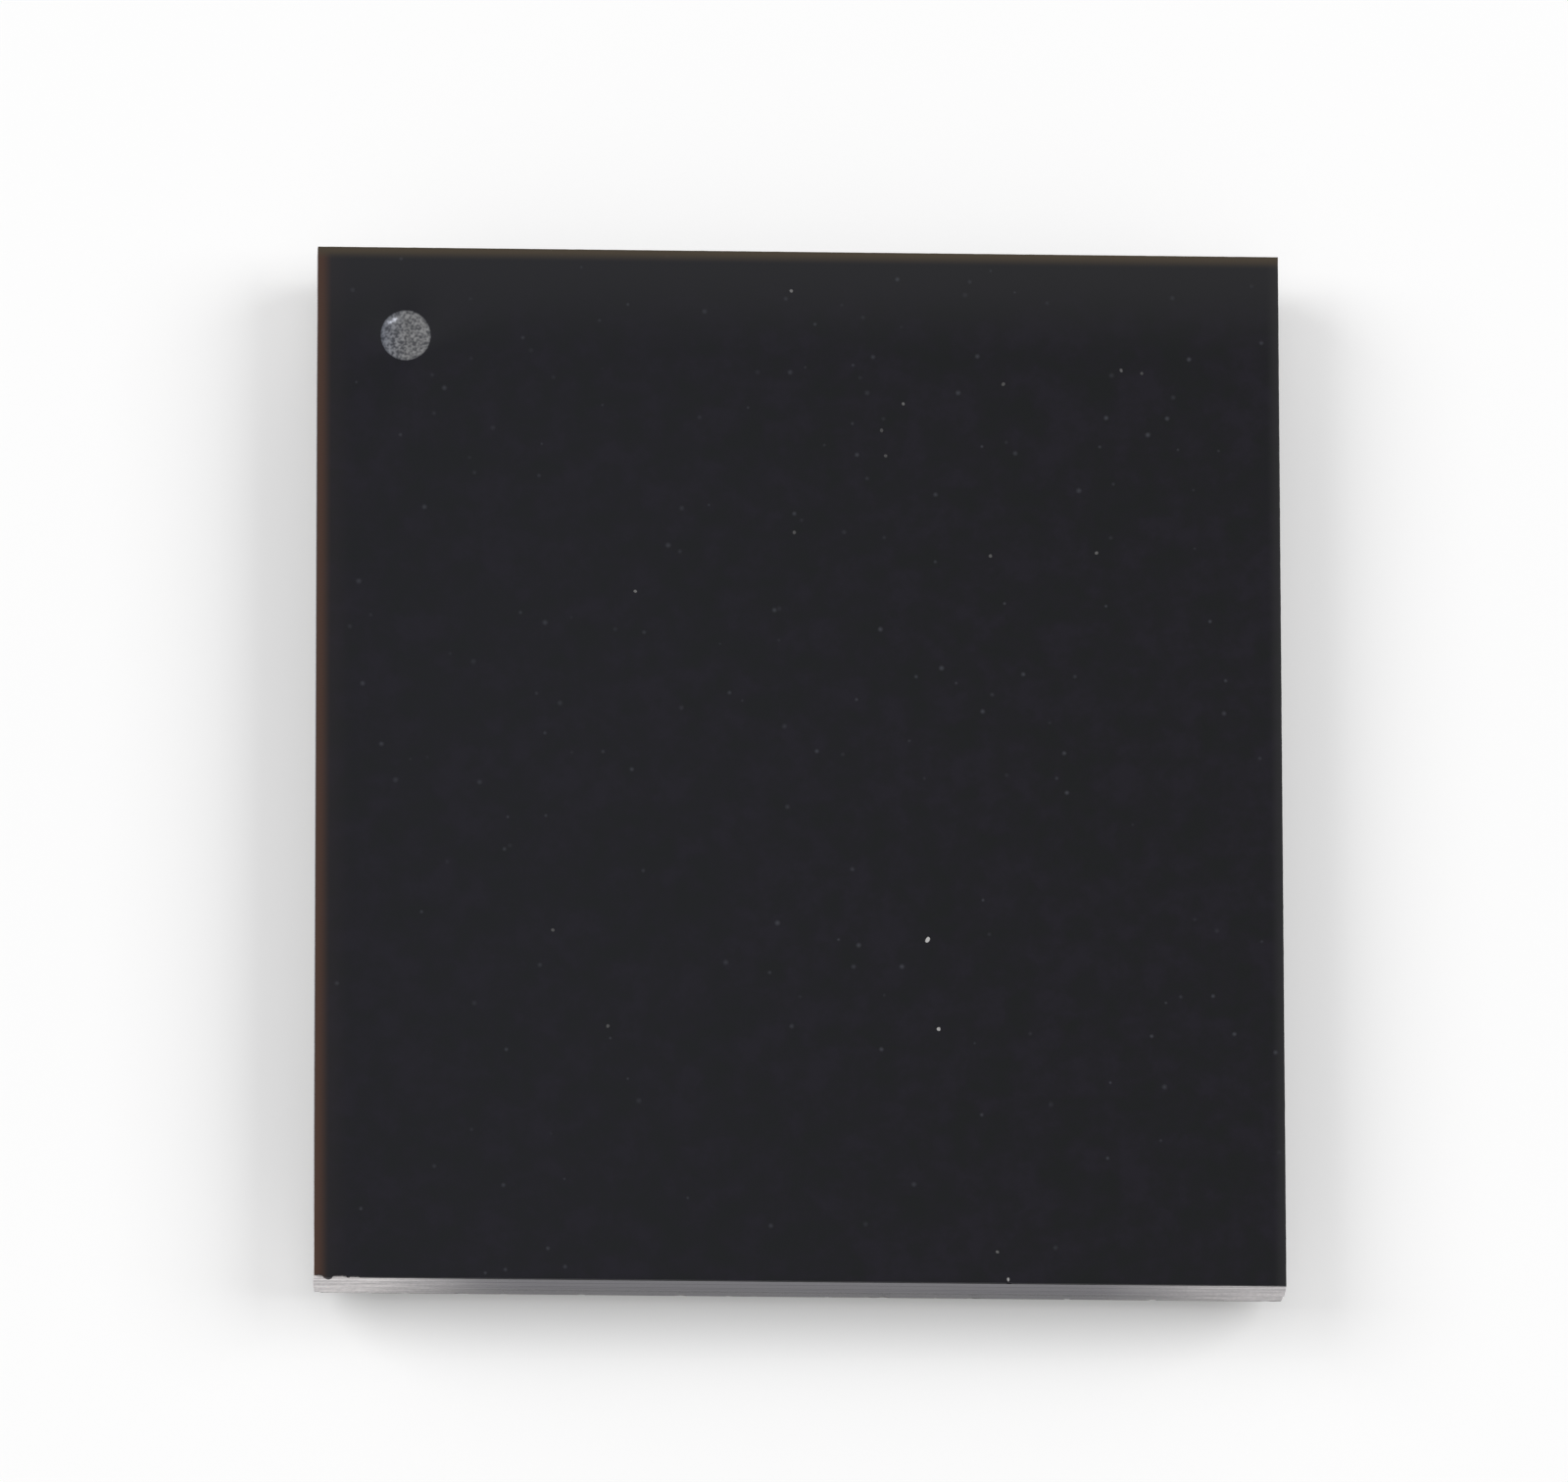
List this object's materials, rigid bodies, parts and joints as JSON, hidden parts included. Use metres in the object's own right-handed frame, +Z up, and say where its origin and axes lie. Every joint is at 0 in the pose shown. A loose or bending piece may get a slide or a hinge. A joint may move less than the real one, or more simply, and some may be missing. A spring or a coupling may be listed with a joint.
{
  "type": "integrated circuit",
  "caption": "Thin rectangular chip-scale package with a black backside film, a corner dot, grey sawn walls and a solder ball grid below.",
  "frame": {"origin": "the middle of the plane that the solder balls stand on", "axes": "+Z up, from the balls to the marked black face; +Y along the longer side, away from the viewer of the picture, with the dot at -X, +Y"},
  "size_m": [0.007, 0.0078, 0.0007],
  "materials": {
    "coating": "matte",
    "silicon": "satin",
    "ring_metal": "satin",
    "wiring_oxide": "gloss",
    "polymer": "gloss",
    "copper": "satin",
    "solder": "satin"
  },
  "bodies": {
    "root": {"backside_coating": "coating", "silicon_die": "silicon", "seal_ring": "ring_metal", "wiring_stack": "wiring_oxide", "lower_film": "polymer", "copper_planes": "copper", "upper_film": "polymer", "ball_pads": "copper", "solder_balls_row_a": "solder", "solder_balls_row_b": "solder", "solder_balls_row_c": "solder", "solder_balls_row_d": "solder", "solder_balls_row_e": "solder", "solder_balls_row_f": "solder", "solder_balls_row_g": "solder", "solder_balls_row_h": "solder", "solder_balls_row_j": "solder", "solder_balls_row_k": "solder", "solder_balls_row_l": "solder", "solder_balls_row_m": "solder", "solder_balls_row_n": "solder", "solder_balls_row_p": "solder"}
  },
  "joints": []
}
